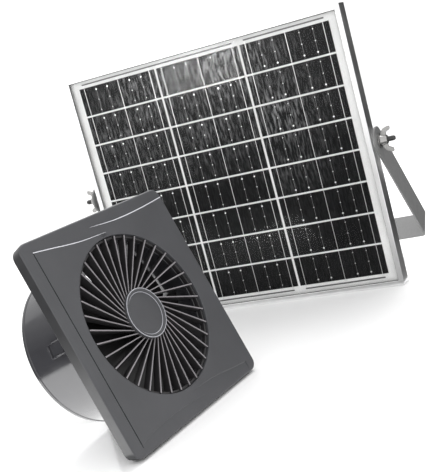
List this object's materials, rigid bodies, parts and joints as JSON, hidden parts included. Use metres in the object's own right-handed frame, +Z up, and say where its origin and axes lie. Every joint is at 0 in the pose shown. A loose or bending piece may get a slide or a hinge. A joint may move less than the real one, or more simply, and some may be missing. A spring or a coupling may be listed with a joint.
{
  "type": "solar attic fan kit",
  "caption": "Square louvred duct fan with a round collar, and a framed solar panel on a U-shaped tilt bracket with wing nuts.",
  "frame": {"origin": "centre of the bounding box at the plane that the kit stands on, z = 0", "axes": "+Z up; the panel stands upright across X and its glass faces -Y; the fan stands in front of it and blows towards +X, turned 7 degrees towards -Y and leaning back 18 degrees"},
  "size_m": [0.416, 0.5614, 0.322],
  "materials": {
    "shell_plastic": "dark slate grey moulded ABS, very fine satin texture",
    "collar_plastic": "dark slate grey moulded ABS, glossy, reflects the surroundings",
    "grille_plastic": "warm grey moulded ABS with lighter edges",
    "black_plastic": "black moulded plastic",
    "rubber_black": "black rubber",
    "frame_aluminium": "clear anodised extruded aluminium, fine lengthwise grain",
    "bracket_steel": "grey coated strip steel",
    "zinc_steel": "bright zinc plated steel",
    "motor_steel": "plain drawn steel",
    "copper": "lacquered copper windings on a steel core",
    "magnet": "ferrite ring",
    "white_plastic": "white nylon or backsheet film",
    "glass": "clear tempered glass, glossy",
    "cell": "near black silicon cells with white gaps and tinned busbars"
  },
  "bodies": {
    "kit_base": {"front_cover": "shell_plastic", "louvre_grille": "grille_plastic", "hub_cap": "shell_plastic", "duct_housing": "collar_plastic", "wall_clip_left": "collar_plastic", "wall_clip_right": "collar_plastic", "lead_grommet": "rubber_black", "front_bearing": "zinc_steel", "rear_bearing": "zinc_steel", "stator_core": "copper", "motor_can": "motor_steel", "motor_rear_cap": "black_plastic", "motor_bracket": "black_plastic", "motor_screw_1": "zinc_steel", "motor_screw_2": "zinc_steel", "motor_screw_3": "zinc_steel", "frame_rail_bottom": "frame_aluminium", "frame_rail_top": "frame_aluminium", "cover_glass": "glass", "cell_string_left": "cell", "cell_string_middle": "cell", "cell_string_right": "cell", "backsheet": "white_plastic", "junction_box": "black_plastic", "junction_box_lid": "black_plastic", "cable_gland": "black_plastic", "frame_rail_left": "frame_aluminium", "corner_key_lower_left": "motor_steel", "corner_key_upper_left": "motor_steel", "pivot_bolt_left": "zinc_steel", "pivot_spacer_left": "white_plastic", "frame_rail_right": "frame_aluminium", "corner_key_lower_right": "motor_steel", "corner_key_upper_right": "motor_steel", "pivot_bolt_right": "zinc_steel", "pivot_spacer_right": "white_plastic"},
    "rotor": {"impeller": "black_plastic", "impeller_nut": "zinc_steel", "motor_shaft": "zinc_steel", "rotor_magnet": "magnet"},
    "tilt_bracket": {"u_bracket": "bracket_steel", "pivot_washer_left": "zinc_steel", "pivot_washer_right": "zinc_steel"},
    "wing_nut_left": {"wing_nut_left": "zinc_steel"},
    "wing_nut_right": {"wing_nut_right": "zinc_steel"}
  },
  "joints": [
    {"name": "bracket_tilt", "type": "hinge", "parent": "kit_base", "child": "tilt_bracket", "pos_m": [0, 0.15339, 0.165], "axis": [1, 0, 0], "range_deg": [-18.5, 138]},
    {"name": "impeller_spin", "type": "hinge", "parent": "kit_base", "child": "rotor", "pos_m": [0.0473, -0.17841, 0.0977], "axis": [0.944, -0.1159, 0.309], "continuous": true},
    {"name": "wing_nut_left_turn", "type": "hinge", "parent": "kit_base", "child": "wing_nut_left", "pos_m": [-0.196, 0.15339, 0.165], "axis": [1, 0, 0], "continuous": true},
    {"name": "wing_nut_right_turn", "type": "hinge", "parent": "kit_base", "child": "wing_nut_right", "pos_m": [0.196, 0.15339, 0.165], "axis": [1, 0, 0], "continuous": true}
  ]
}
